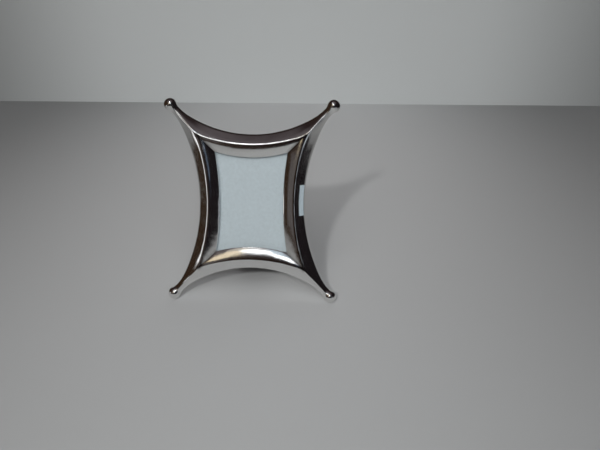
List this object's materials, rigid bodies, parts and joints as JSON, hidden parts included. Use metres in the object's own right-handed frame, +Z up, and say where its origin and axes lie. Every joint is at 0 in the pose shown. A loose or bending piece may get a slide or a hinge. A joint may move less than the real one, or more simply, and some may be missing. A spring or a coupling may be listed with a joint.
{
  "type": "table number holder",
  "caption": "Polished cast easel frame with concave sides and ball-tipped horns; it shows a table number card behind glass and stands on a folding leg.",
  "frame": {"origin": "on the table, under the middle of the object's box", "axes": "+Z up from the table, -Y out of the front of the frame, +X to the right of a person who faces it"},
  "size_m": [0.135, 0.0623, 0.1539],
  "materials": {
    "polished_casting": "polished",
    "clear_glass": "gloss",
    "white_card": "matte",
    "grey_board": "matte",
    "black_velvet": "matte",
    "label_paper": "matte",
    "nickel_steel": "satin"
  },
  "bodies": {
    "frame": {"frame_casting": "polished_casting", "glass_pane": "clear_glass", "number_card": "white_card", "filler_card": "grey_board", "back_board": "black_velvet", "side_label": "label_paper", "hinge_upper_leaf": "nickel_steel", "hinge_pin": "nickel_steel", "board_rivet_left": "nickel_steel", "board_rivet_right": "nickel_steel", "button_screw_upper_left": "nickel_steel", "button_screw_upper_right": "nickel_steel", "button_screw_lower_left": "nickel_steel", "button_screw_lower_right": "nickel_steel"},
    "leg": {"easel_leg": "black_velvet", "hinge_lower_leaf": "nickel_steel", "leg_rivet_left": "nickel_steel", "leg_rivet_right": "nickel_steel"},
    "turn_button_upper_left": {"turn_button_upper_left": "nickel_steel"},
    "turn_button_upper_right": {"turn_button_upper_right": "nickel_steel"},
    "turn_button_lower_left": {"turn_button_lower_left": "nickel_steel"},
    "turn_button_lower_right": {"turn_button_lower_right": "nickel_steel"}
  },
  "joints": [
    {"name": "leg_hinge", "type": "hinge", "parent": "frame", "child": "leg", "pos_m": [0, 0.00507, 0.09447], "axis": [1, 0, 0], "range_deg": [-30, 0]},
    {"name": "turn_button_upper_left_swivel", "type": "hinge", "parent": "frame", "child": "turn_button_upper_left", "pos_m": [-0.0372, 0.00433, 0.09674], "axis": [0, 0.9659, -0.2588], "continuous": true},
    {"name": "turn_button_upper_right_swivel", "type": "hinge", "parent": "frame", "child": "turn_button_upper_right", "pos_m": [0.0372, 0.00433, 0.09674], "axis": [0, 0.9659, -0.2588], "continuous": true},
    {"name": "turn_button_lower_left_swivel", "type": "hinge", "parent": "frame", "child": "turn_button_lower_left", "pos_m": [-0.0372, -0.00706, 0.05424], "axis": [0, 0.9659, -0.2588], "continuous": true},
    {"name": "turn_button_lower_right_swivel", "type": "hinge", "parent": "frame", "child": "turn_button_lower_right", "pos_m": [0.0372, -0.00706, 0.05424], "axis": [0, 0.9659, -0.2588], "continuous": true}
  ]
}
